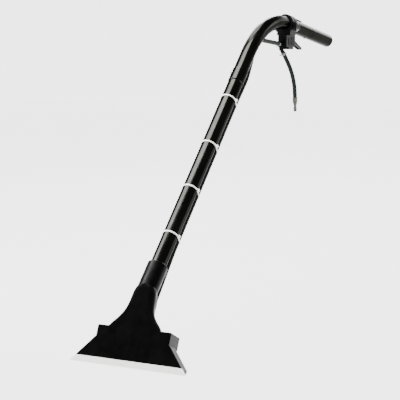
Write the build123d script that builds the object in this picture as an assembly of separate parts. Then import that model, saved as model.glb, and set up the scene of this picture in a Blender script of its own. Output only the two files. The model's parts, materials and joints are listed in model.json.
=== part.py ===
# Carpet extraction floor wand: a flared suction head on a bent 1.5 in tube,
# with a spray shroud, a clamped trigger valve and the solution hoses.
#
# Units are millimetres. The wand stands in its working pose: +X runs across the head,
# +Y runs back towards the user, +Z is up. The origin is on the floor, in the middle of
# the glide lip's front runner.
from build123d import *
from math import atan, cos, degrees, pi, radians, sin, tan
import os

os.makedirs("parts", exist_ok=True)

# ---------------------------------------------------------------- driving dimensions
TUBE_R = 19.05            # outside radius of the 1.5 in tube
TUBE_WALL = 1.6
BELL_R = 20.3             # outside radius of a tube's belled end
BELL_LENGTH = 40.0
SEAM_STEP = 0.3           # depth and width of the groove at the handle joint
SEAM_WIDTH = 2.5
SPIGOT_LENGTH = 40.0      # reduced end of the handle tube, inside the bend tube
JOINT_SCREW = 2.7         # joint screws end flush with the bore they come through to
HANDLE_SCREW = 3.1
TUBE_LEAN = 45.0          # lower tube, measured from vertical
HEAD_LEAN = 25.0          # suction head, measured from vertical
TUBE_FOOT_Y = -63.1       # where the lower tube's axis would meet the floor
JOINT_S = 910.0           # lower tube's top, measured along its axis from that foot
BEND_S = 973.0            # start of the bend, same measure
BEND_R = 302.0
HANDLE_DIP = 8.2          # the handle points this far below horizontal
HANDLE_JOINT = 153.0      # straight bend-tube stretch beyond the bend
HANDLE_END = 312.0        # open end of the handle tube beyond the bend

HEAD_HALF = 150.0         # half of the 300 mm cleaning width, measured across the fan's foot
HEAD_DEPTH = 33.0
HEAD_WALL = 2.6
SIDE_SLOPE = 0.87         # how fast the fan narrows going up
SIDE_WALL_X = 3.4         # the sloping side wall, measured straight across
FAN_TOP = 92.0            # above this the fan's back is rounded off
LIP_HEIGHT = 14.8
RUNNER = 12.0             # front to back size of the lip's front runner
SLOT = 12.0               # suction slot, front to back
COLLAR_R = 24.5
COLLAR_STEP = 0.4         # the neck meets the collar this much inside its surface
COLLAR_S0 = 230.0
COLLAR_S1 = 290.0

SHROUD_HALF_FRONT = 95.0
SHROUD_HALF_REAR = 88.0
SHROUD_BACK = 60.0
SHROUD_LOW = 60.0
SHROUD_HIGH = 90.0
SHROUD_WALL = 2.4
JET_X = 54.0
POST_UP = 68.0            # height of the shroud's screw posts

HOSE_R = 6.0
HOSE_BORE = 3.2
HOSE_TURN = 20.0          # hose's place round the tube, from straight below towards +X
TIE_S = (377.0, 516.5, 657.0, 811.0)
TIE_WIDTH = 3.4
TIE_THICK = 1.2
TIE_FIT = 0.12            # clearance inside a drawn-up tie
TIE_HEAD_TURN = 24.0      # a tie's head, from square to the hose's side towards the hose

CLAMP_U0 = -17.0          # clamp, measured along the handle from the bend's end
CLAMP_U1 = 23.0
CLAMP_R = 23.4
VALVE_Y0 = 850.0
VALVE_Y1 = 916.0
VALVE_Z0 = 708.0
VALVE_Z1 = 741.0
VALVE_HALF = 13.0
STEM_Z = 728.0
STEM_R = 3.0
STEM_REST_Y = 922.0       # rear tip of the stem with the trigger released
PIVOT_Y = 921.0
PIVOT_Z = 714.0
PIN_R = 2.0
GAP = 0.3                 # clearance between moving parts
RUN = 0.05                # radial clearance of a running fit
SEAT = 0.08               # clearance between fixed parts that nest
BIG = 2000.0

# ---------------------------------------------------------------- frames
LEAN = radians(TUBE_LEAN)
TUBE_DIR = Vector(0, sin(LEAN), cos(LEAN))
TUBE_UNDER = Vector(0, cos(LEAN), -sin(LEAN))
X_DIR = Vector(1, 0, 0)


def tube_point(s, under=0.0, x=0.0):
    """A point beside the lower tube's axis, s along it from the floor."""
    return Vector(x, TUBE_FOOT_Y, 0) + TUBE_DIR * s + TUBE_UNDER * under


def tube_plane(s):
    return Plane(origin=tube_point(s), x_dir=(1, 0, 0), z_dir=TUBE_DIR)


BEND_CENTRE = tube_point(BEND_S, BEND_R)
DIP = radians(HANDLE_DIP)
HANDLE_DIR = Vector(0, cos(DIP), -sin(DIP))
HANDLE_UP = Vector(0, sin(DIP), cos(DIP))
BEND_END = BEND_CENTRE + HANDLE_UP * BEND_R


def handle_point(u, up=0.0, x=0.0):
    """A point beside the handle's axis, u along it from the end of the bend."""
    return BEND_END + HANDLE_DIR * u + HANDLE_UP * up + X_DIR * x


def handle_plane(u):
    """A plane across the handle: local X is across, local Y is up."""
    return Plane(origin=handle_point(u), x_dir=(-1, 0, 0), z_dir=HANDLE_DIR)


def head(shape):
    """Places a shape drawn upright (x across, y depth, z up the face) on the leaning head."""
    return Pos(0, -RUNNER / 2, 0) * Rot(-HEAD_LEAN, 0, 0) * shape


def head_to_world(x, depth, up):
    a = radians(HEAD_LEAN)
    return Vector(x, up * sin(a) + depth * cos(a) - RUNNER / 2, up * cos(a) - depth * sin(a))


def above_floor(shape, height=0.0):
    return shape - Pos(0, 0, height - BIG / 2) * Box(BIG, BIG, BIG)


def box(x0, x1, y0, y1, z0, z1):
    return Pos((x0 + x1) / 2, (y0 + y1) / 2, (z0 + z1) / 2) * Box(x1 - x0, y1 - y0, z1 - z0)


def rod(start, end, r):
    """A round bar between two points."""
    start = Vector(*start)
    end = Vector(*end)
    return extrude(Plane(origin=start, z_dir=end - start) * Circle(r), (end - start).length)


def hex_bar(start, end, flats):
    start = Vector(*start)
    end = Vector(*end)
    outline = RegularPolygon(flats / 2, 6, major_radius=False)
    return extrude(Plane(origin=start, z_dir=end - start) * outline, (end - start).length)


def ring(start, end, outer, inner):
    return rod(start, end, outer) - rod(start, end, inner)


def save(shape, name):
    shape.label = name
    export_step(shape, f"parts/{name}.step")


# ---------------------------------------------------------------- tubes
def bend_path(s0, u1):
    """The tube's centre line from s0 on the lower axis, round the bend, to u1 on the handle."""
    start = tube_point(s0)
    bend_start = tube_point(BEND_S)
    half = (TUBE_LEAN + HANDLE_DIP) / 2
    middle_dir = radians(HANDLE_DIP - half)
    middle = BEND_CENTRE + Vector(0, sin(middle_dir), cos(middle_dir)) * BEND_R
    first = Line(start, bend_start)
    arc = ThreePointArc(bend_start, middle, BEND_END)
    last = Line(BEND_END, handle_point(u1))
    return Wire([first, arc, last])


def bend_bar(s0, u1, r):
    section = tube_plane(s0) * Circle(r)
    return sweep(section, path=bend_path(s0, u1))


def joint_screw_place(s):
    """Where a joint's pan-head screw sits: on the tube's upper side, turned to -X."""
    turn = radians(40)
    out = TUBE_UNDER * -cos(turn) - X_DIR * sin(turn)
    return tube_point(s), out


def pan_screw(seat, out, head_r, head_h, shank_r, length):
    """A pan-head screw with a cross recess; out points from the seat to the head."""
    top = seat + out * head_h
    body = rod(seat, top, head_r) + rod(seat - out * length, seat, shank_r)
    rim = body.edges().sort_by(lambda e: (e.center(CenterOf.MASS) - top).length)[0]
    body = fillet(rim, head_h * 0.6)
    face = Plane(origin=top, z_dir=out)
    cross = Rectangle(head_r * 1.1, head_r * 0.25) + Rectangle(head_r * 0.25, head_r * 1.1)
    return body - extrude(face * cross, -head_h * 0.6)


def make_tubes():
    neck_seat = COLLAR_S0 + 8
    bell_start = JOINT_S - BELL_LENGTH
    lower = rod(tube_point(neck_seat), tube_point(bell_start), TUBE_R)
    flare = extrude(tube_plane(bell_start - 3) * Circle(TUBE_R), 3, taper=-degrees(atan((BELL_R - TUBE_R) / 3)))
    lower = lower + flare + rod(tube_point(bell_start), tube_point(JOINT_S), BELL_R)
    lower -= rod(tube_point(neck_seat - 1), tube_point(bell_start + 1), TUBE_R - TUBE_WALL)
    lower -= rod(tube_point(bell_start + 0.5), tube_point(JOINT_S + 1), TUBE_R + SEAT)

    bend = bend_bar(bell_start + 1, HANDLE_JOINT, TUBE_R)
    bend -= bend_bar(bell_start - 1, HANDLE_JOINT + 1, TUBE_R - TUBE_WALL)

    spigot_r = TUBE_R - TUBE_WALL - SEAT
    spigot_bore = spigot_r - TUBE_WALL
    handle = ring(handle_point(HANDLE_JOINT + SEAM_WIDTH), handle_point(HANDLE_END), TUBE_R, TUBE_R - TUBE_WALL)
    handle = fillet(handle.edges().group_by(Axis.Y)[-1], 0.6)
    handle += ring(handle_point(HANDLE_JOINT), handle_point(HANDLE_JOINT + SEAM_WIDTH + 1), TUBE_R - SEAM_STEP,
                   spigot_bore)
    handle += ring(handle_point(HANDLE_JOINT - SPIGOT_LENGTH), handle_point(HANDLE_JOINT + 1), spigot_r, spigot_bore)

    s = JOINT_S - 18
    axis_point, out = joint_screw_place(s)
    lower_screw = pan_screw(axis_point + out * BELL_R, out, 4.0, 2.4, 1.9, JOINT_SCREW)
    hole = rod(axis_point, axis_point + out * (BELL_R + 5), 1.95)
    lower -= hole
    bend -= hole
    u = HANDLE_JOINT - 18
    seat = handle_point(u, up=-TUBE_R)
    handle_screw = pan_screw(seat, HANDLE_UP * -1, 4.0, 2.4, 1.9, HANDLE_SCREW)
    hole = rod(handle_point(u), handle_point(u, up=-TUBE_R - 5), 1.95)
    bend -= hole
    handle -= hole
    return lower, bend, handle, lower_screw, handle_screw


# ---------------------------------------------------------------- suction head
SHELL_SCREWS = ((108.0, 24.0, 33.0), (82.0, 50.0, 33.0), (22.0, 104.0, 33.7))   # across, up, seat depth
POST_X = 28.0             # the shroud's screw posts, either side of the middle

# Sections up the neck: height, half width, depth, how far the back is narrower on each
# side, front and back corner radii, and tilt towards the tube's axis.
NECK_SECTIONS = (
    (FAN_TOP, 70.0, 33.0, 19.0, 5.0, 14.0, 0.0),
    (112.0, 53.8, 34.0, 18.0, 7.0, 16.0, 0.0),
    (128.0, 43.5, 36.5, 16.5, 9.0, 17.0, 2.0),
    (143.0, 37.4, 40.0, 11.5, 12.0, 18.0, 6.0),
    (159.0, 33.0, 43.5, 6.0, 15.0, 19.0, 11.0),
)


def duct_section(s, half, depth, narrowing, front_r, back_r, tilt, wall):
    """A rounded trapezoid across the fan at height s, shrunk by the wall."""
    tip = radians(tilt)
    plane = Plane(origin=(0, 0, s), x_dir=(1, 0, 0), z_dir=(0, sin(tip), cos(tip)))
    side = SIDE_WALL_X * wall / HEAD_WALL
    front = half - side
    back = half - narrowing - side
    outline = make_face(Polyline((-front, wall), (front, wall), (back, depth - wall),
                                 (-back, depth - wall), close=True))
    corners = outline.vertices().group_by(Axis.Y)
    outline = fillet(corners[0], max(front_r - wall, 1.4))
    corners = outline.vertices().filter_by(lambda v: abs(v.Y - depth + wall) < 0.001)
    outline = fillet(corners, max(back_r - wall, 1.4))
    return plane * outline


def fan_section(s, wall, front_r=3.0, back_r=5.0):
    """A section of the fan at height s, where its sides are straight."""
    return duct_section(s, HEAD_HALF - SIDE_SLOPE * s, HEAD_DEPTH, 0.0, front_r, back_r, 0.0, wall)


def duct(wall):
    """The outer form of the fan and neck (wall 0), or its inside."""
    low = loft([fan_section(-18, wall), fan_section(SHROUD_LOW, wall)])
    waist = loft([fan_section(SHROUD_LOW, wall), duct_section(*NECK_SECTIONS[0], wall)])
    size = COLLAR_R - COLLAR_STEP - wall
    outline = RectangleRounded(2 * size, 2 * size, size - 0.5)
    top = Rot(HEAD_LEAN, 0, 0) * (Pos(0, RUNNER / 2, 0) * (tube_plane(COLLAR_S0 - 6) * outline))
    return low + waist + loft([duct_section(*row, wall) for row in NECK_SECTIONS] + [top])


def split_volume(front):
    """Everything in front of (or behind) the seam between the two head shells."""
    axis_low = (tube_point(COLLAR_S0).Y, tube_point(COLLAR_S0).Z)
    axis_high = (tube_point(COLLAR_S1 + 40).Y, tube_point(COLLAR_S1 + 40).Z)
    foot = head_to_world(0, HEAD_DEPTH / 2, -40)
    knee = head_to_world(0, HEAD_DEPTH / 2, 120)
    seam = [(foot.Y, foot.Z), (knee.Y, knee.Z), axis_low, axis_high]
    side = -1 if front else 1
    far = [(axis_high[0] + side * 400, axis_high[1]), (foot.Y + side * 400, foot.Z)]
    outline = make_face(Polyline(seam + far, close=True))
    return extrude(Plane.YZ * outline, 200, both=True)


def shell_screw_places():
    return [(side * x, s, depth) for x, s, depth in SHELL_SCREWS for side in (-1, 1)]


def glide_lip():
    """White low-friction lip: front runner, suction slot and rear runner in one piece."""
    outer = loft([fan_section(-18, 0), fan_section(LIP_HEIGHT, 0)])
    front = outer & box(-BIG, BIG, -1, 5.0, -30, LIP_HEIGHT)
    inner = loft([fan_section(-18, HEAD_WALL + SEAT), fan_section(LIP_HEIGHT, HEAD_WALL + SEAT)])
    strip_half = HEAD_HALF - 24
    rear_strip = outer & box(-strip_half, strip_half, HEAD_DEPTH - 8, HEAD_DEPTH + 1, -30, LIP_HEIGHT - 3)
    seated = inner & box(-BIG, BIG, 4.9, HEAD_DEPTH, -30, LIP_HEIGHT - 3)
    lip = head(front + seated + rear_strip)
    lip = above_floor(lip)
    slot_outline = Pos(0, RUNNER / 2 + SLOT / 2) * SlotOverall(2 * HEAD_HALF - 44, SLOT)
    lip -= extrude(Plane.XY.offset(-1) * slot_outline, 40)
    sole_edges = lip.edges().filter_by(Axis.X).filter_by(lambda e: abs(e.center().Z) < 0.01)
    front_edge = sole_edges.sort_by(Axis.Y)[0]
    return fillet(front_edge, 1.2)


def make_head():
    outer = head(duct(0.0))
    inner = head(duct(HEAD_WALL))
    collar = rod(tube_point(COLLAR_S0 - 6.2), tube_point(COLLAR_S1), COLLAR_R)
    top_edge = collar.edges().group_by(Axis.Z)[-1]
    collar = fillet(top_edge, 1.5)
    body = outer + collar
    body -= inner
    body -= rod(tube_point(COLLAR_S0 - 8), tube_point(COLLAR_S0 + 8.2), TUBE_R - TUBE_WALL - 0.2)
    body -= rod(tube_point(COLLAR_S0 + 8), tube_point(COLLAR_S1 + 1), TUBE_R + SEAT)

    bosses = None
    for x, s, _ in shell_screw_places():
        boss = head(rod((x, 1.0, s), (x, HEAD_DEPTH - 1.0, s), 4.6))
        bosses = boss if bosses is None else bosses + boss
    body += bosses

    mouth = loft([fan_section(-30, -1.0), fan_section(LIP_HEIGHT, -1.0)])
    front_cut = head(mouth & box(-BIG, BIG, -5, 5.0 + SEAT, -40, LIP_HEIGHT + SEAT))
    rear_cut = head(box(-HEAD_HALF + 24 - SEAT, HEAD_HALF - 24 + SEAT, HEAD_DEPTH - 8, HEAD_DEPTH + 5,
                        -40, LIP_HEIGHT - 3 + SEAT))
    body -= front_cut
    body -= rear_cut
    body = above_floor(body, 0.4)

    front = body & split_volume(True)
    rear = body & split_volume(False)

    posts = None
    post_end = SHROUD_BACK - SHROUD_WALL - SEAT
    for side in (-1, 1):
        post = head(rod((side * POST_X, HEAD_DEPTH - 1.5, POST_UP), (side * POST_X, post_end, POST_UP), 5.0))
        posts = post if posts is None else posts + post
    rear += posts
    screws = []
    for x, s, seat_depth in shell_screw_places():
        shaft = head(rod((x, 6.0, s), (x, HEAD_DEPTH + 2, s), 1.6))
        front -= shaft
        rear -= shaft
        rear -= head(rod((x, seat_depth, s), (x, seat_depth + 4, s), 3.6))
        seat = head_to_world(x, seat_depth, s)
        out = head_to_world(0, 1, 0) - head_to_world(0, 0, 0)
        screws.append(pan_screw(seat, out, 3.4, 2.0, 1.55, 24.0))
    for side in (-1, 1):
        x = side * POST_X
        rear -= head(rod((x, SHROUD_BACK - 18, POST_UP), (x, SHROUD_BACK + 2, POST_UP), 1.6))
    return front, rear, Compound(children=screws)


# ---------------------------------------------------------------- spray gear
def shroud_form(inset):
    """The spray shroud's outside (inset 0) or inside, drawn upright."""
    low = SHROUD_LOW - (40 if inset else 0)
    high = SHROUD_HIGH - inset
    y0 = inset
    y1 = SHROUD_BACK - inset
    outline = Polyline((-SHROUD_HALF_FRONT + inset, y0), (SHROUD_HALF_FRONT - inset, y0),
                       (SHROUD_HALF_REAR - inset, y1), (-SHROUD_HALF_REAR + inset, y1), close=True)
    form = extrude(Plane.XY.offset(low) * make_face(outline), high - low)
    upright = form.edges().filter_by(lambda e: abs(e.tangent_at(0.5).Z) > 0.9)
    return fillet(upright, max(3.0 - inset, 0.8))


def make_shroud():
    shell = shroud_form(0.0)
    top = shell.edges().group_by(Axis.Z)[-1]
    shell = fillet(top, 2.0) - shroud_form(SHROUD_WALL)
    shell -= duct(-SEAT * 2)
    shell = shell.solids().sort_by(SortBy.VOLUME)[-1]
    hose_hole_y = MANIFOLD_DEPTH + 2
    shell -= rod((0, hose_hole_y, SHROUD_HIGH - 10), (0, hose_hole_y, SHROUD_HIGH + 5), 8.0)
    for side in (-1, 1):
        shell -= rod((side * POST_X, SHROUD_BACK - 6, POST_UP), (side * POST_X, SHROUD_BACK + 2, POST_UP), 2.0)
    return head(shell)


MANIFOLD_DEPTH = 47.0
MANIFOLD_UP = 81.0
BARB_TILT = radians(12)
MANIFOLD_CENTRE = head_to_world(0, MANIFOLD_DEPTH, MANIFOLD_UP)
MANIFOLD_UP_DIR = head_to_world(0, sin(BARB_TILT), cos(BARB_TILT)) - head_to_world(0, 0, 0)
MANIFOLD_TOP = MANIFOLD_CENTRE + MANIFOLD_UP_DIR * 12.5


def make_spray():
    """Manifold, inlet barb and the two jets, drawn upright and then leaned."""
    bar = rod((-JET_X - 8, MANIFOLD_DEPTH, MANIFOLD_UP), (JET_X + 8, MANIFOLD_DEPTH, MANIFOLD_UP), 5.2)
    bar -= rod((-JET_X - 3, MANIFOLD_DEPTH, MANIFOLD_UP), (JET_X + 3, MANIFOLD_DEPTH, MANIFOLD_UP), 2.5)
    jets = {}
    for side, name in ((-1, "left"), (1, "right")):
        x = side * JET_X
        top = MANIFOLD_UP
        bar += rod((x, MANIFOLD_DEPTH, top), (x, MANIFOLD_DEPTH, top - 9), 6.4)
        bar -= rod((x, MANIFOLD_DEPTH, top), (x, MANIFOLD_DEPTH, top - 10), 3.6)
        body = hex_bar((x, MANIFOLD_DEPTH, top - 9), (x, MANIFOLD_DEPTH, top - 13), 12.0)
        body += rod((x, MANIFOLD_DEPTH, top - 3), (x, MANIFOLD_DEPTH, top - 9), 3.55)
        body += rod((x, MANIFOLD_DEPTH, top - 13), (x, MANIFOLD_DEPTH, top - 18), 5.0)
        body -= rod((x, MANIFOLD_DEPTH, top - 2), (x, MANIFOLD_DEPTH, top - 19), 2.2)
        strainer = ring((x, MANIFOLD_DEPTH, top - 4), (x, MANIFOLD_DEPTH, top - 15), 2.15, 1.3)
        strainer += rod((x, MANIFOLD_DEPTH, top - 4), (x, MANIFOLD_DEPTH, top - 5), 2.15)
        tip = rod((x, MANIFOLD_DEPTH, top - 18), (x, MANIFOLD_DEPTH, top - 21), 4.2)
        tip += rod((x, MANIFOLD_DEPTH, top - 21), (x, MANIFOLD_DEPTH, top - 24), 3.0)
        tip -= rod((x, MANIFOLD_DEPTH, top - 17), (x, MANIFOLD_DEPTH, top - 23), 1.0)
        tip -= box(x - 4, x + 4, MANIFOLD_DEPTH - 0.4, MANIFOLD_DEPTH + 0.4, top - 25, top - 22.5)
        cap = hex_bar((x, MANIFOLD_DEPTH, top - 13.5), (x, MANIFOLD_DEPTH, top - 22), 14.0)
        cap -= rod((x, MANIFOLD_DEPTH, top - 13), (x, MANIFOLD_DEPTH, top - 21.1), 5.05)
        cap -= rod((x, MANIFOLD_DEPTH, top - 21), (x, MANIFOLD_DEPTH, top - 23), 3.1)
        jets[name] = {"body": head(body), "strainer": head(strainer), "tip": head(tip), "cap": head(cap)}
    boss = rod(MANIFOLD_CENTRE, MANIFOLD_TOP, 6.2)
    bar = head(bar) + boss - rod(MANIFOLD_CENTRE, MANIFOLD_TOP + MANIFOLD_UP_DIR, 3.6)
    return bar, jets


# ---------------------------------------------------------------- held solution hose
HOSE_OFFSET = TUBE_R + HOSE_R + 0.15
HOSE_UNDER = HOSE_OFFSET * cos(radians(HOSE_TURN))
HOSE_X = HOSE_OFFSET * sin(radians(HOSE_TURN))
OUTLET = Vector(-3.0, 850.0, 716.0)      # valve outlet, at the body's front face
BARB_LENGTH = 14.0
OUTLET_HEX = 6.0
BARB_HEX = 3.0
OUTLET_DIR = Vector(-0.12, -0.975, 0.10).normalized()
OUTLET_RUN = 140.0        # straight run from the outlet to the bend's far side
HELD_RADII = [60.0, 80.0, 150.0, 200.0, 200.0, 90.0, 60.0]


def bend_point(slope, offset, turn):
    """A point beside the bend, offset from its axis, turned from its inner side towards -X."""
    angle = radians(slope)
    side = radians(turn)
    radial = Vector(0, -sin(angle), cos(angle))
    return BEND_CENTRE + radial * (BEND_R - offset * cos(side)) - X_DIR * (offset * sin(side))


def held_hose_points():
    """Corner points of the hose from the valve outlet to the manifold barb."""
    start = OUTLET + OUTLET_DIR * OUTLET_HEX
    far_side = start + OUTLET_DIR * OUTLET_RUN
    under_bend = bend_point(42.0, 32.5, 6.0)
    past_joint = tube_point(912.0, HOSE_UNDER + 2.7, 9.0)
    beside = tube_point(862.0, HOSE_UNDER + 2.2, HOSE_X)
    settled = tube_point(829.0, HOSE_UNDER, HOSE_X)
    leave = tube_point(352.0, HOSE_UNDER, HOSE_X)
    base = MANIFOLD_TOP + MANIFOLD_UP_DIR * BARB_HEX
    above_barb = base + MANIFOLD_UP_DIR * 42.0
    return [start, far_side, under_bend, past_joint, beside, settled, leave, above_barb, base]


def hose_along(points, radii, name):
    """A hose swept along straight runs joined by tangent arcs."""
    path = FilletPolyline(*points, radius=radii)
    start_dir = points[1] - points[0]
    section = Plane(origin=points[0], z_dir=start_dir) * (Circle(HOSE_R) - Circle(HOSE_BORE))
    solid = sweep(section, path=path)
    expected = pi * (HOSE_R ** 2 - HOSE_BORE ** 2) * path.length
    print(f"{name}: length {path.length:.1f}, volume {solid.volume:.0f}, section x length {expected:.0f}")
    return solid


def natural_radii(points):
    """Arc radii for a free hose: 0.45 of the shorter run over the tangent of half the turn."""
    radii = []
    for a, b, c in zip(points, points[1:], points[2:]):
        shorter = min((b - a).length, (c - b).length)
        turn = radians((b - a).get_angle(c - b))
        radii.append(0.45 * shorter / tan(turn / 2))
    return radii


def spring_clamp(centre, along, towards):
    """A spring-band hose clamp: a ring with two tangs, for the pliers, on one side."""
    tang = (towards - along * towards.dot(along)).normalized()
    side = along.cross(tang)
    band = ring(centre - along * 3.5, centre + along * 3.5, HOSE_R + 0.9, HOSE_R + 0.03)
    for shift in (-2.2, 2.2):
        root = centre + tang * (HOSE_R + 0.4) + side * shift
        tip = root + tang * 6.5 + side * shift * 0.5
        band += rod(root - along * 1.2, tip, 0.8)
    return band


def cable_tie(s):
    """A tie round the tube and the hose, with its square head on the +X side."""
    plane = tube_plane(s)
    hose_local = plane.to_local_coords(tube_point(s, HOSE_UNDER, HOSE_X))
    tube_circle = Circle(TUBE_R + TIE_FIT)
    hose_circle = Pos(hose_local.X, hose_local.Y) * Circle(HOSE_R + TIE_FIT)
    hull = make_hull(tube_circle.edges() + hose_circle.edges())
    outer = offset(hull, TIE_THICK)
    band = extrude(plane * (outer - hull), TIE_WIDTH / 2, both=True)
    across = hose_local.normalized()
    side = Vector(across.Y, -across.X, 0)
    if side.X < 0:
        side = side * -1
    outward = side * cos(radians(TIE_HEAD_TURN)) + across * sin(radians(TIE_HEAD_TURN))
    spot = outward * (TUBE_R + TIE_FIT + TIE_THICK + 1.6)
    facing = X_DIR.get_signed_angle(outward, Vector(0, 0, 1))
    block = Pos(spot.X, spot.Y, 0) * Rot(0, 0, facing) * Box(4.4, 5.4, 6.2)
    tail = Pos(spot.X + outward.X * 2.4, spot.Y + outward.Y * 2.4, 0) * Rot(0, 0, facing) * Box(3.0, 1.4, 3.0)
    return band + plane.location * block + plane.location * tail


# ---------------------------------------------------------------- clamp and valve
def clamp_halves():
    middle = (CLAMP_U0 + CLAMP_U1) / 2
    ring_bar = rod(handle_point(CLAMP_U0), handle_point(CLAMP_U1), CLAMP_R)
    bore = bend_bar(BEND_S - 60, 120, TUBE_R + SEAT)
    length = CLAMP_U1 - CLAMP_U0

    def block(x0, x1, up0, up1, u0=0.0, u1=length):
        """A block on the clamp: across, up from the handle's axis, and along the handle."""
        outline = Pos((x0 + x1) / 2, (up0 + up1) / 2) * Rectangle(x1 - x0, up1 - up0)
        return extrude(handle_plane(CLAMP_U0 + u0) * outline, u1 - u0)

    upper = ring_bar
    ribs = 5
    for index in range(ribs):
        u = CLAMP_U0 + 5.0 + index * (length - 10.0) / (ribs - 1)
        upper += rod(handle_point(u - 1.6), handle_point(u + 1.6), CLAMP_R + 1.4)
    for side in (-1, 1):
        upper += block(side * 27 - 8, side * 27 + 8, -8, -2, 6, length - 6)
    tongue = rod(handle_point(CLAMP_U1 - 1), handle_point(CLAMP_U1 + 62), CLAMP_R - 0.6)
    tongue &= block(-9, 9, 10, 40, length - 1, length + 62)
    upper = upper - block(-60, 60, -60, -8, -1, length + 1) + tongue
    upper -= bore

    lower = rod(handle_point(CLAMP_U0), handle_point(CLAMP_U1), CLAMP_R)
    for side in (-1, 1):
        lower += block(side * 27 - 8, side * 27 + 8, -15.5, -9, 6, length - 6)
    lower -= block(-60, 60, -9, 60, -1, length + 1)
    pad = block(-20, 20, -45, -14)
    lower += pad
    lower -= box(-60, 60, 700, 1000, 600, VALVE_Z1)
    lower -= bore

    bolts = []
    nuts = []
    for side in (-1, 1):
        x = side * 30.0
        top = handle_point(middle, up=-2.0, x=x)
        hole = rod(handle_point(middle, up=5, x=x), handle_point(middle, up=-30, x=x), 2.6)
        upper -= hole
        lower -= hole
        bolt = rod(top, handle_point(middle, up=3.0, x=x), 4.2)
        bolt -= hex_bar(handle_point(middle, up=0.6, x=x), handle_point(middle, up=4.0, x=x), 4.0)
        bolt += rod(handle_point(middle, up=-22.0, x=x), top, 2.5)
        bolts.append(bolt)
        nut = hex_bar(handle_point(middle, up=-15.5, x=x), handle_point(middle, up=-19.5, x=x), 8.0)
        nut -= rod(handle_point(middle, up=-15.0, x=x), handle_point(middle, up=-20.0, x=x), 2.52)
        nuts.append(nut)
    screw_u = CLAMP_U1 + 52
    seat = handle_point(screw_u, up=CLAMP_R - 1.6)
    upper -= rod(seat, handle_point(screw_u, up=CLAMP_R + 5), 4.4)
    tongue_screw = pan_screw(seat, HANDLE_UP, 4.0, 1.4, 1.9, 5.5)
    hole = rod(handle_point(screw_u), handle_point(screw_u, up=CLAMP_R + 15), 1.95)
    upper -= hole
    return upper, lower, Compound(children=bolts), Compound(children=nuts), tongue_screw, hole


ELBOW = Vector(-7.5, VALVE_Y0 + 12.0, VALVE_Z0 - 5.0)
INLET_DIR = Vector(0.30, 0.42, -0.857).normalized()
PLUG_Y = VALVE_Y0 + 7.0
SEAT_Y = VALVE_Y0 + 45.0
GUIDE_Y = VALVE_Y0 + 54.0
ELBOW_STUB = 5.0


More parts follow.
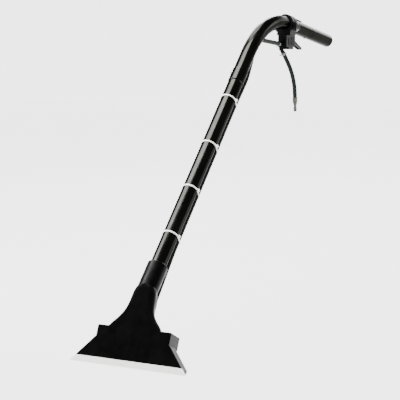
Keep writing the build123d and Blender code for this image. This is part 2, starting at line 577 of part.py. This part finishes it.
def make_valve():
    body = box(-VALVE_HALF, VALVE_HALF, VALVE_Y0, VALVE_Y1, VALVE_Z0, VALVE_Z1)
    body = fillet(body.edges().filter_by(Axis.Z), 2.5)
    for side in (-1, 1):
        for index in range(4):
            y = VALVE_Y0 + 12 + index * 11
            wall_x = side * VALVE_HALF
            body -= box(wall_x - 0.8, wall_x + 0.8, y, y + 5.5, VALVE_Z0 + 5, VALVE_Z1 - 5)
    body += box(-4, 4, VALVE_Y1 - 3, PIVOT_Y, PIVOT_Z - 5, PIVOT_Z + 5)
    body += rod((-4, PIVOT_Y, PIVOT_Z), (4, PIVOT_Y, PIVOT_Z), 5.0)
    body -= rod((-20, PIVOT_Y, PIVOT_Z), (20, PIVOT_Y, PIVOT_Z), PIN_R + RUN)
    body -= rod((0, VALVE_Y0 - 1, STEM_Z), (0, SEAT_Y, STEM_Z), 7.0)
    body -= rod((0, SEAT_Y - 1, STEM_Z), (0, GUIDE_Y, STEM_Z), 4.4)
    body -= rod((0, GUIDE_Y - 1, STEM_Z), (0, VALVE_Y1 + 1, STEM_Z), STEM_R + RUN)
    body -= rod((OUTLET.X + 2, VALVE_Y0, OUTLET.Z), (OUTLET.X + 2, GUIDE_Y - 3, OUTLET.Z), 2.0)
    body -= rod(OUTLET + OUTLET_DIR, OUTLET - OUTLET_DIR * 5.0, 4.5)
    body -= rod(OUTLET, OUTLET + OUTLET_DIR * 6.0, 6.0)
    body -= rod((OUTLET.X + 2, GUIDE_Y - 4.5, OUTLET.Z), (OUTLET.X + 2, GUIDE_Y - 4.5, STEM_Z), 1.6)
    body -= rod((ELBOW.X, ELBOW.Y, VALVE_Z0 - 1), (ELBOW.X, ELBOW.Y, VALVE_Z0 + ELBOW_STUB), 4.5)
    body += box(-9, 9, VALVE_Y0 + 26, VALVE_Y1 - 6, VALVE_Z0 - 6, VALVE_Z0 + 1)
    body -= rod((ELBOW.X, ELBOW.Y, VALVE_Z0), (ELBOW.X, ELBOW.Y, STEM_Z - 1), 1.8)
    body -= ring((0, GUIDE_Y + 3, STEM_Z), (0, GUIDE_Y + 5.4, STEM_Z), 4.6, STEM_R)
    for y in (VALVE_Y0 + 20, VALVE_Y1 - 20):
        body -= rod((0, y, VALVE_Z1 - 4.0), (0, y, VALVE_Z1 + 1), 2.0)

    plug = rod((0, VALVE_Y0, STEM_Z), (0, PLUG_Y, STEM_Z), 6.95)
    plug += hex_bar((0, VALVE_Y0, STEM_Z), (0, VALVE_Y0 - 4.5, STEM_Z), 11.0)
    plug -= rod((0, PLUG_Y - 3, STEM_Z), (0, PLUG_Y + 1, STEM_Z), 4.6)

    stem = rod((0, PLUG_Y + 9, STEM_Z), (0, STEM_REST_Y, STEM_Z), STEM_R)
    stem = fillet(stem.edges().group_by(Axis.Y)[-1], 1.4)
    stem += rod((0, SEAT_Y - 6.2, STEM_Z), (0, SEAT_Y - 2.4, STEM_Z), 6.0)
    seat_seal = ring((0, SEAT_Y - 2.4, STEM_Z), (0, SEAT_Y - 0.2, STEM_Z), 5.8, STEM_R)
    stem_seal = ring((0, GUIDE_Y + 3.1, STEM_Z), (0, GUIDE_Y + 5.3, STEM_Z), 4.55, STEM_R + 0.02)
    stem_seal = fillet(stem_seal.edges(), 0.35)

    turns = 5
    pitch = (SEAT_Y - 6.2 - PLUG_Y - 1.8) / turns
    helix = Helix(pitch=pitch, height=pitch * turns, radius=4.7, center=(0, 0, 0))
    wire_section = Plane(origin=helix @ 0, z_dir=helix % 0) * Circle(0.5)
    spring = sweep(wire_section, path=helix, is_frenet=True)
    spring = Pos(0, PLUG_Y + 0.9, STEM_Z) * Rot(-90, 0, 0) * spring
    return body, plug, stem, seat_seal, stem_seal, spring


def make_trigger():
    """The lever hangs behind the valve; squeezing lifts its tip towards the handle."""
    nose_front = STEM_REST_Y + GAP
    profile = [
        (nose_front, PIVOT_Z + 17.0),
        (nose_front + 4.2, PIVOT_Z + 17.0),
        (nose_front + 8.0, PIVOT_Z + 11.0),
        (PIVOT_Y + 55.0, PIVOT_Z - 7.0),
        (PIVOT_Y + 56.5, PIVOT_Z - 10.2),
        (PIVOT_Y + 54.5, PIVOT_Z - 13.4),
        (PIVOT_Y + 10.0, PIVOT_Z + 1.0),
        (PIVOT_Y + 4.0, PIVOT_Z - 4.6),
        (PIVOT_Y - 2.0, PIVOT_Z - 4.2),
        (PIVOT_Y - 3.2, PIVOT_Z + 1.5),
        (nose_front, PIVOT_Z + 8.0),
    ]
    face = make_face(Polyline(profile, close=True))
    face = fillet(face.vertices().filter_by(lambda v: v.X > PIVOT_Y + 50), 1.2)
    solid = extrude(Plane.YZ * face, 6.8, both=True)
    hollow = [
        (PIVOT_Y - 20, PIVOT_Z - 20),
        (PIVOT_Y + 50, PIVOT_Z - 30),
        (PIVOT_Y + 50, PIVOT_Z - 8.6),
        (nose_front + 8.5, PIVOT_Z + 7.4),
        (nose_front + 2.6, PIVOT_Z + 10.0),
        (nose_front - 12, PIVOT_Z + 10.0),
    ]
    solid -= extrude(Plane.YZ * make_face(Polyline(hollow, close=True)), 4.0 + GAP, both=True)
    solid -= rod((-20, PIVOT_Y, PIVOT_Z), (20, PIVOT_Y, PIVOT_Z), PIN_R + 0.02)
    pin = rod((-8.0, PIVOT_Y, PIVOT_Z), (8.0, PIVOT_Y, PIVOT_Z), PIN_R)
    for side in (-1, 1):
        pin += rod((side * 7.0, PIVOT_Y, PIVOT_Z), (side * 8.2, PIVOT_Y, PIVOT_Z), 3.2)
    return solid, pin


def barb(base, out, hex_flats, hex_length, stub_r, stub):
    """A hose barb: threaded stub behind the hex, ridged spigot in front of it."""
    out = out.normalized()
    piece = hex_bar(base - out * hex_length, base, hex_flats)
    piece += rod(base - out * (hex_length + stub), base - out * hex_length, stub_r)
    piece += rod(base, base + out * BARB_LENGTH, HOSE_BORE - 0.35)
    for index in range(3):
        start = base + out * (2.5 + 4.0 * index)
        piece += rod(start, start + out * 1.4, HOSE_BORE - 0.05)
    return piece - rod(base - out * (hex_length + stub + 1), base + out * (BARB_LENGTH + 1), 1.7)


# ---------------------------------------------------------------- free inlet hose
def inlet_points():
    """Corner points of the short inlet hose, from its barb down to the coupling."""
    start = ELBOW + INLET_DIR * 8.0
    return [start,
            start + INLET_DIR * 28.0,
            Vector(12.0, 891.5, 640.0),
            Vector(16.3, 900.0, 608.0),
            Vector(18.0, 903.5, 580.0),
            Vector(18.2, 904.3, 557.0)]


def make_inlet_line():
    points = inlet_points()
    radii = natural_radii(points)
    for index, radius in enumerate(radii):
        print(f"inlet hose arc {index + 1}: radius {radius:.0f}")
    hose = hose_along(points, radii, "inlet_hose")
    end = points[-1]
    down = (points[-1] - points[-2]).normalized()
    ferrule = ring(end - down * 10.0, end, HOSE_R + 1.1, HOSE_R + 0.05)
    ferrule += ring(end, end + down * 1.6, HOSE_R + 1.1, HOSE_BORE - 0.2)
    for index in range(3):
        spot = end - down * (8.4 - 2.9 * index)
        ferrule -= ring(spot, spot + down * 1.0, HOSE_R + 2.0, HOSE_R + 0.8)
    base = end + down * 1.6
    nipple = hex_bar(base, base + down * 6.0, 11.0)
    nipple += rod(base - down * (BARB_LENGTH - 4), base, HOSE_BORE - 0.25)
    nipple += rod(base + down * 6.0, base + down * 26.0, 4.7)
    nipple -= ring(base + down * 12.0, base + down * 15.5, 6.0, 3.7)
    nipple += rod(base + down * 25.0, base + down * 28.0, 3.9)
    nipple -= rod(base - down * 20, base + down * 30.0, 1.6)
    return hose, ferrule, nipple


# ---------------------------------------------------------------- build everything
def build():
    lower_tube, bend_tube, handle_tube, lower_screw, handle_screw = make_tubes()
    front_shell, rear_shell, shell_screws = make_head()
    lip = glide_lip()
    shroud = make_shroud()
    manifold, jets = make_spray()

    neck_s = COLLAR_S1 - 22
    neck_screw = pan_screw(tube_point(neck_s, COLLAR_R), TUBE_UNDER, 3.6, 2.0, 1.9, 7.5)
    hole = rod(tube_point(neck_s), tube_point(neck_s, COLLAR_R + 5), 1.95)
    rear_shell -= hole
    lower_tube -= hole

    upper, lower, bolts, nuts, tongue_screw, tongue_hole = clamp_halves()
    bend_tube -= tongue_hole
    body, plug, stem, seat_seal, stem_seal, spring = make_valve()
    lever, pin = make_trigger()

    points = held_hose_points()
    held = hose_along(points, HELD_RADII, "solution_hose")
    outlet_barb = barb(points[0], OUTLET_DIR, 10.0, OUTLET_HEX, 4.45, 4.5)
    up = MANIFOLD_UP_DIR
    base = points[-1]
    manifold_barb = barb(base, up, 10.0, BARB_HEX, 3.5, 5.0)

    elbow = rod((ELBOW.X, ELBOW.Y, ELBOW.Z), (ELBOW.X, ELBOW.Y, VALVE_Z0), 6.4) + Pos(*ELBOW) * Sphere(6.4)
    elbow += rod((ELBOW.X, ELBOW.Y, VALVE_Z0), (ELBOW.X, ELBOW.Y, VALVE_Z0 + ELBOW_STUB - 0.3), 4.45)
    elbow += rod(ELBOW, ELBOW + INLET_DIR * 8.0, 5.4)
    elbow += rod(ELBOW, ELBOW + INLET_DIR * (8.0 + BARB_LENGTH), HOSE_BORE - 0.35)
    for index in range(3):
        start = ELBOW + INLET_DIR * (10.5 + 4.0 * index)
        elbow += rod(start, start + INLET_DIR * 1.4, HOSE_BORE - 0.05)
    elbow -= rod((ELBOW.X, ELBOW.Y, ELBOW.Z), (ELBOW.X, ELBOW.Y, VALVE_Z0 + 8), 1.7)
    elbow -= rod(ELBOW, ELBOW + INLET_DIR * 30.0, 1.7)

    inlet_hose, ferrule, nipple = make_inlet_line()

    outlet_clamp = spring_clamp(points[0] + OUTLET_DIR * 8, OUTLET_DIR, Vector(-0.35, 0, -0.94))
    inlet_clamp = spring_clamp(inlet_points()[0] + INLET_DIR * 8, INLET_DIR, Vector(-1, -0.5, 0))
    lower_clamp = spring_clamp(base + up * 8, up, Vector(0, 1, 0))

    nodes = {
        "glide_lip": lip,
        "head_front_shell": front_shell,
        "head_rear_shell": rear_shell,
        "head_shell_screws": shell_screws,
        "neck_screw": neck_screw,
        "spray_shroud": shroud,
        "spray_manifold": manifold,
        "manifold_barb": manifold_barb,
        "lower_tube": lower_tube,
        "bend_tube": bend_tube,
        "handle_tube": handle_tube,
        "tube_joint_screw": lower_screw,
        "handle_joint_screw": handle_screw,
        "solution_hose": held,
        "outlet_hose_clamp": outlet_clamp,
        "inlet_hose_clamp": inlet_clamp,
        "manifold_hose_clamp": lower_clamp,
        "clamp_upper_half": upper,
        "clamp_lower_half": lower,
        "clamp_bolts": bolts,
        "clamp_nuts": nuts,
        "clamp_tongue_screw": tongue_screw,
        "valve_body": body,
        "valve_end_plug": plug,
        "valve_stem": stem,
        "valve_seat_seal": seat_seal,
        "valve_stem_seal": stem_seal,
        "valve_spring": spring,
        "outlet_barb": outlet_barb,
        "inlet_elbow_barb": elbow,
        "trigger_lever": lever,
        "trigger_pivot_pin": pin,
        "inlet_hose": inlet_hose,
        "hose_ferrule": ferrule,
        "quick_connect_nipple": nipple,
    }
    for name, parts in jets.items():
        for part_name, shape in parts.items():
            nodes[f"jet_{part_name}_{name}"] = shape
    for index, s in enumerate(TIE_S):
        nodes[f"cable_tie_{index + 1}"] = cable_tie(s)
    screws = []
    for side in (-1, 1):
        place = head_to_world(side * POST_X, SHROUD_BACK, POST_UP)
        out = head_to_world(0, 1, 0) - head_to_world(0, 0, 0)
        screws.append(pan_screw(place, out, 3.6, 2.0, 1.55, 14.0))
    nodes["shroud_screws"] = Compound(children=screws)
    for name, shape in nodes.items():
        save(shape, name)


build()
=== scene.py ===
"""Looks for the carpet extraction floor wand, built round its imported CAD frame. Metres."""

import json
import math

import bpy
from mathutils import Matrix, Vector


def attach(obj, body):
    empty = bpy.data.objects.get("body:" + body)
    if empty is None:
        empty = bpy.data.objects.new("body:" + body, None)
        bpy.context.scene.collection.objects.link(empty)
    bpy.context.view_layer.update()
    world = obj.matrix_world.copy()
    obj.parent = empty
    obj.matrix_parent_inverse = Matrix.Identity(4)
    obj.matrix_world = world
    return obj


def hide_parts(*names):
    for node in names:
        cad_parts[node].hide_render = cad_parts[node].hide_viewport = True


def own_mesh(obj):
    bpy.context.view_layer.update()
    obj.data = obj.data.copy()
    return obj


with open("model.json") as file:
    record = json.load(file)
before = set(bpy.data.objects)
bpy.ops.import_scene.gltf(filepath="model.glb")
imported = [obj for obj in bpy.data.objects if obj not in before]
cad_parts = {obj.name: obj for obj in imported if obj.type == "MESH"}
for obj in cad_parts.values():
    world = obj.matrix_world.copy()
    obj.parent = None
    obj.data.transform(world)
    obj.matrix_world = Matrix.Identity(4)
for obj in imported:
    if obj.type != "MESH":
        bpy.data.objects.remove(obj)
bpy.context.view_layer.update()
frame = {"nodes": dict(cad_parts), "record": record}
NODES = frame["nodes"]

# ------------------------------------------------------------------ camera
CAMERA_PLACE = Vector((1.3187, -2.1975, 0.6925))
CAMERA_AIM = Vector((0.0, 0.35371, 0.33448))
LENS_MM = 106.32
SENSOR_MM = 36.0
CLIP_NEAR = 0.05
CLIP_FAR = 60.0

camera_data = bpy.data.cameras.new("camera")
camera_data.lens = LENS_MM
camera_data.sensor_width = SENSOR_MM
camera_data.clip_start = CLIP_NEAR
camera_data.clip_end = CLIP_FAR
camera = bpy.data.objects.new("camera", camera_data)
camera.location = CAMERA_PLACE
camera.rotation_mode = "QUATERNION"
camera.rotation_quaternion = (CAMERA_AIM - CAMERA_PLACE).to_track_quat("-Z", "Y")
bpy.context.scene.collection.objects.link(camera)
bpy.context.scene.camera = camera

# ------------------------------------------------------------------ materials
# Noise seldom leaves this range, so colour and gloss are spread over it.
NOISE_LOW = 0.3
NOISE_HIGH = 0.7

# Noise scales, in features per metre. Plastic:
MOTTLE_SCALE = 28.0
HANDLING_SCALE = 60.0
# Metal:
TARNISH_SCALE = 90.0
POLISH_SCALE = 900.0
POLISH_DEPTH = 0.00003
# Coated tube:
RUB_SCALE = 14.0
WEAR_SCALE = 40.0
PEEL_SCALE = 420.0
PEEL_DEPTH = 0.00006


def new_material(name):
    """A node material, its node tree and its shader."""
    material = bpy.data.materials.new(name)
    material.use_nodes = True
    tree = material.node_tree
    return material, tree, tree.nodes["Principled BSDF"]


def noise(tree, scale, detail=4.0, rough=0.55, stretch=(1, 1, 1)):
    """3-D noise in object space."""
    coords = tree.nodes.new("ShaderNodeTexCoord")
    mapping = tree.nodes.new("ShaderNodeMapping")
    mapping.inputs["Scale"].default_value = stretch
    tree.links.new(coords.outputs["Object"], mapping.inputs["Vector"])
    node = tree.nodes.new("ShaderNodeTexNoise")
    node.inputs["Scale"].default_value = scale
    node.inputs["Detail"].default_value = detail
    node.inputs["Roughness"].default_value = rough
    tree.links.new(mapping.outputs["Vector"], node.inputs["Vector"])
    return node.outputs["Fac"]


def tone(tree, fac, dark, light, low=NOISE_LOW, high=NOISE_HIGH):
    """Blends from dark to light as fac goes from low to high."""
    node = tree.nodes.new("ShaderNodeValToRGB")
    elements = node.color_ramp.elements
    for element, place, colour in zip(elements, (low, high), (dark, light)):
        element.position = place
        element.color = (*colour, 1.0)
    tree.links.new(fac, node.inputs["Fac"])
    return node.outputs["Color"]


def level(tree, fac, span):
    """Maps noise to the two ends of span."""
    node = tree.nodes.new("ShaderNodeMapRange")
    node.inputs["From Min"].default_value = NOISE_LOW
    node.inputs["From Max"].default_value = NOISE_HIGH
    node.inputs["To Min"].default_value, node.inputs["To Max"].default_value = span
    tree.links.new(fac, node.inputs["Value"])
    return node.outputs["Result"]


def bump(tree, shader, fac, strength, distance):
    """Roughens the surface's normal with fac, for relief too fine to be geometry."""
    node = tree.nodes.new("ShaderNodeBump")
    node.inputs["Strength"].default_value = strength
    node.inputs["Distance"].default_value = distance
    tree.links.new(fac, node.inputs["Height"])
    tree.links.new(node.outputs["Normal"], shader.inputs["Normal"])


def plastic(name, dark, light, rough, grain, grain_depth, specular):
    """Moulded plastic or rubber: a mottled tone, uneven gloss and a fine moulded grain."""
    material, tree, shader = new_material(name)
    colour = tone(tree, noise(tree, MOTTLE_SCALE), dark, light)
    gloss = level(tree, noise(tree, HANDLING_SCALE, 6.0), rough)
    tree.links.new(colour, shader.inputs["Base Color"])
    tree.links.new(gloss, shader.inputs["Roughness"])
    shader.inputs["Specular IOR Level"].default_value = specular
    bump(tree, shader, noise(tree, grain, 3.0), 0.35, grain_depth)
    return material


def metal(name, dark, light, rough, stretch=(1, 1, 1)):
    """Plated or turned metal: a fine polish, directional where stretched, and faint tarnish."""
    material, tree, shader = new_material(name)
    colour = tone(tree, noise(tree, TARNISH_SCALE), dark, light)
    gloss = level(tree, noise(tree, POLISH_SCALE, 3.0, 0.5, stretch), rough)
    tree.links.new(colour, shader.inputs["Base Color"])
    tree.links.new(gloss, shader.inputs["Roughness"])
    shader.inputs["Metallic"].default_value = 1.0
    polish = noise(tree, POLISH_SCALE, 2.0, 0.5, stretch)
    bump(tree, shader, polish, 0.25, POLISH_DEPTH)
    return material


def gloss_coat(name, dark, light, rough, edge):
    """Black coated tube: a slight orange peel under a gloss, with rubbed patches.

    A dark metallic base with its grazing reflection held down to edge keeps the tube's
    underside black over a pale floor.
    """
    material, tree, shader = new_material(name)
    colour = tone(tree, noise(tree, RUB_SCALE, 5.0), dark, light, 0.32, 0.68)
    gloss = level(tree, noise(tree, WEAR_SCALE, 8.0, 0.65), rough)
    tree.links.new(colour, shader.inputs["Base Color"])
    tree.links.new(gloss, shader.inputs["Roughness"])
    shader.inputs["Metallic"].default_value = 1.0
    shader.inputs["Specular Tint"].default_value = (edge, edge, edge, 1.0)
    bump(tree, shader, noise(tree, PEEL_SCALE, 2.0), 0.12, PEEL_DEPTH)
    return material


# By material slot. Colours run from dark to light, roughness from glossy to dull.
MATERIALS = {
    "tube_black": gloss_coat(
        "tube_coat", (0.012, 0.012, 0.0112), (0.019, 0.019, 0.0175),
        rough=(0.14, 0.21), edge=0.46),
    "head_black": plastic(
        "head_plastic", (0.0008, 0.0008, 0.0008), (0.0018, 0.0018, 0.0017),
        rough=(0.26, 0.36), grain=700.0, grain_depth=0.00003, specular=0.045),
    "clamp_black": plastic(
        "clamp_plastic", (0.002, 0.002, 0.002), (0.004, 0.004, 0.004),
        rough=(0.28, 0.40), grain=800.0, grain_depth=0.00004, specular=0.03),
    "valve_black": plastic(
        "valve_plastic", (0.0015, 0.0015, 0.0015), (0.003, 0.003, 0.003),
        rough=(0.22, 0.34), grain=800.0, grain_depth=0.00003, specular=0.025),
    "lever_black": plastic(
        "lever_plastic", (0.003, 0.003, 0.003), (0.006, 0.006, 0.006),
        rough=(0.30, 0.40), grain=900.0, grain_depth=0.00003, specular=0.04),
    "glide_white": plastic(
        "glide_plastic", (0.84, 0.84, 0.815), (0.90, 0.90, 0.88),
        rough=(0.34, 0.46), grain=500.0, grain_depth=0.00003, specular=0.4),
    "tie_nylon": plastic(
        "tie_plastic", (0.82, 0.82, 0.79), (0.90, 0.90, 0.88),
        rough=(0.30, 0.42), grain=900.0, grain_depth=0.00003, specular=0.45),
    "hose_rubber": plastic(
        "hose_skin", (0.0045, 0.0070, 0.0057), (0.0085, 0.0125, 0.0105),
        rough=(0.36, 0.50), grain=500.0, grain_depth=0.00008, specular=0.05),
    "seal_rubber": plastic(
        "seal_skin", (0.004, 0.004, 0.004), (0.008, 0.008, 0.008),
        rough=(0.5, 0.65), grain=900.0, grain_depth=0.00003, specular=0.2),
    "screw_steel": metal(
        "zinc_steel", (0.20, 0.20, 0.20), (0.34, 0.34, 0.33), rough=(0.24, 0.38)),
    "clip_steel": metal(
        "spring_steel", (0.05, 0.05, 0.05), (0.12, 0.12, 0.115), rough=(0.20, 0.34)),
    "brass": metal(
        "turned_brass", (0.30, 0.22, 0.09), (0.46, 0.35, 0.15),
        rough=(0.22, 0.34), stretch=(1, 1, 8)),
    "nickel": metal(
        "nickel_plate", (0.03, 0.03, 0.028), (0.09, 0.088, 0.083),
        rough=(0.12, 0.22), stretch=(1, 1, 8)),
    "jet_steel": metal(
        "stainless", (0.30, 0.30, 0.30), (0.42, 0.42, 0.41), rough=(0.20, 0.32)),
}

for row in frame["record"]["subparts"]:
    slots = NODES[row["node"]].data.materials
    slots.clear()
    slots.append(MATERIALS[row["material_slot"]])

# ------------------------------------------------------------------ the free inlet hose
# Its corner points, from the valve's barb down to the coupling.
HOSE_ROUTE = (
    (-0.005101, 0.865359, 0.696147),
    (0.003296, 0.877114, 0.672161),
    (0.0120, 0.8915, 0.6400),
    (0.0163, 0.9000, 0.6080),
    (0.0180, 0.9035, 0.5800),
    (0.0182, 0.9043, 0.5570),
)
HOSE_DIAMETER = 0.012


def route_curve(name, route, diameter):
    """A round tube along corner points, pulled smooth between them."""
    data = bpy.data.curves.new(name, "CURVE")
    data.dimensions = "3D"
    data.bevel_depth = diameter / 2
    data.bevel_resolution = 8
    data.resolution_u = 24
    spline = data.splines.new("NURBS")
    spline.points.add(len(route) - 1)
    for point, place in zip(spline.points, route):
        point.co = (*place, 1.0)
    spline.order_u = 3
    spline.use_endpoint_u = True
    obj = bpy.data.objects.new(name, data)
    bpy.context.scene.collection.objects.link(obj)
    return obj


inlet = route_curve("inlet_hose_flex", HOSE_ROUTE, HOSE_DIAMETER)
inlet.data.materials.append(MATERIALS["hose_rubber"])
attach(inlet, "wand")
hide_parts("inlet_hose")

# ------------------------------------------------------------------ the valve's return spring
SPRING_FOOT = Vector((0.0, 0.8579, 0.728))
SPRING_RADIUS = 0.0047       # to the wire's centre
SPRING_WIRE = 0.0005         # the wire's radius
SPRING_TURNS = 5
SPRING_LENGTH = 0.02998      # from the first end's wire centre to the last's


def coil_mesh(name, steps_per_turn=40, sides=10):
    """A round wire wound along +Y from SPRING_FOOT, its cut ends closed."""
    slope = SPRING_LENGTH / (math.tau * SPRING_TURNS)
    tilt = math.atan2(slope, SPRING_RADIUS)
    count = SPRING_TURNS * steps_per_turn
    points = []
    for step in range(count + 1):
        angle = math.tau * step / steps_per_turn
        out = Vector((math.cos(angle), 0, -math.sin(angle)))
        round_axis = Vector((-math.sin(angle), 0, -math.cos(angle)))
        centre = SPRING_FOOT + out * SPRING_RADIUS + Vector((0, slope * angle, 0))
        along = round_axis * math.cos(tilt) + Vector((0, math.sin(tilt), 0))
        across = out.cross(along)
        for side in range(sides):
            turn = math.tau * side / sides
            rim = out * math.cos(turn) + across * math.sin(turn)
            points.append(centre + rim * SPRING_WIRE)
    faces = [tuple(reversed(range(sides))), tuple(range(count * sides, (count + 1) * sides))]
    for step in range(count):
        for side in range(sides):
            a, b = step * sides + side, step * sides + (side + 1) % sides
            faces.append((a, b, b + sides, a + sides))
    mesh = bpy.data.meshes.new(name)
    mesh.from_pydata(points, [], faces)
    mesh.update()
    mesh.polygons.foreach_set("use_smooth", [True] * len(mesh.polygons))
    return mesh


spring = bpy.data.objects.new("valve_spring_coil", coil_mesh("valve_spring_coil"))
bpy.context.scene.collection.objects.link(spring)
spring.data.materials.append(MATERIALS["screw_steel"])
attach(spring, "wand")
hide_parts("valve_spring")
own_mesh(spring)

# ------------------------------------------------------------------ smooth shading of the CAD nodes
# Faces that meet at more than this angle keep a crisp edge.
CRISP_ANGLE = math.radians(32)

for node in NODES.values():
    node.data.polygons.foreach_set("use_smooth", [True] * len(node.data.polygons))
    node.data.update()
    split = node.modifiers.new("split", "EDGE_SPLIT")
    split.split_angle = CRISP_ANGLE

# ------------------------------------------------------------------ floor, walls and world
FLOOR_Z = -0.0005
STUDIO_HALF = 14.0
WALL_TOP = 1.9
PAPER_SCALE = 3.0
PAPER_DARK = (0.90, 0.90, 0.90)
PAPER_LIGHT = (0.93, 0.93, 0.93)
PAPER_BASE = (0.12, 0.12, 0.12, 1.0)
PAPER_GLOW = 3.9
WORLD_STRENGTH = 0.35


def studio_paper():
    """A pale paper floor with a low wall of the same paper far off on every side."""
    material, tree, shader = new_material("studio_paper")
    glow = tone(tree, noise(tree, PAPER_SCALE), PAPER_DARK, PAPER_LIGHT)
    shader.inputs["Base Color"].default_value = PAPER_BASE
    tree.links.new(glow, shader.inputs["Emission Color"])
    shader.inputs["Emission Strength"].default_value = PAPER_GLOW
    shader.inputs["Roughness"].default_value = 0.9
    shader.inputs["Specular IOR Level"].default_value = 0.1
    corners = [(x * STUDIO_HALF, y * STUDIO_HALF) for x, y in ((-1, -1), (1, -1), (1, 1), (-1, 1))]
    points = [(x, y, z) for z in (FLOOR_Z, WALL_TOP) for x, y in corners]
    walls = [(k, (k + 1) % 4, (k + 1) % 4 + 4, k + 4) for k in range(4)]
    mesh = bpy.data.meshes.new("studio_paper")
    mesh.from_pydata(points, [], [(0, 1, 2, 3), *walls])
    mesh.materials.append(material)
    obj = bpy.data.objects.new("studio_paper", mesh)
    bpy.context.scene.collection.objects.link(obj)


studio_paper()

world = bpy.data.worlds.new("studio")
bpy.context.scene.world = world
world.use_nodes = True
background = world.node_tree.nodes["Background"]
background.inputs["Color"].default_value = (1.0, 1.0, 1.0, 1.0)
background.inputs["Strength"].default_value = WORLD_STRENGTH


# ------------------------------------------------------------------ lights
def area_light(name, place, aim, width, height, watts):
    """A rectangular light at place that faces aim."""
    data = bpy.data.lights.new(name, "AREA")
    data.shape = "RECTANGLE"
    data.size = width
    data.size_y = height
    data.energy = watts
    light = bpy.data.objects.new(name, data)
    light.location = place
    light.rotation_mode = "QUATERNION"
    light.rotation_quaternion = (Vector(aim) - Vector(place)).to_track_quat("-Z", "Y")
    bpy.context.scene.collection.objects.link(light)


area_light("softbox", (-0.85, 0.20, 2.35), (0, 0.45, 0.4), 1.1, 2.4, 270.0)
area_light("shoulder_strip", (-1.45, 2.3, 2.9), (0, 0.8, 0.6), 1.3, 2.6, 260.0)
area_light("back_strip", (1.4, 7.3, 2.85), (0, 1.0, 0.75), 6.0, 2.2, 430.0)
area_light("left_strip", (-2.1, 4.9, 3.0), (0, 0.9, 0.75), 1.3, 2.4, 170.0)
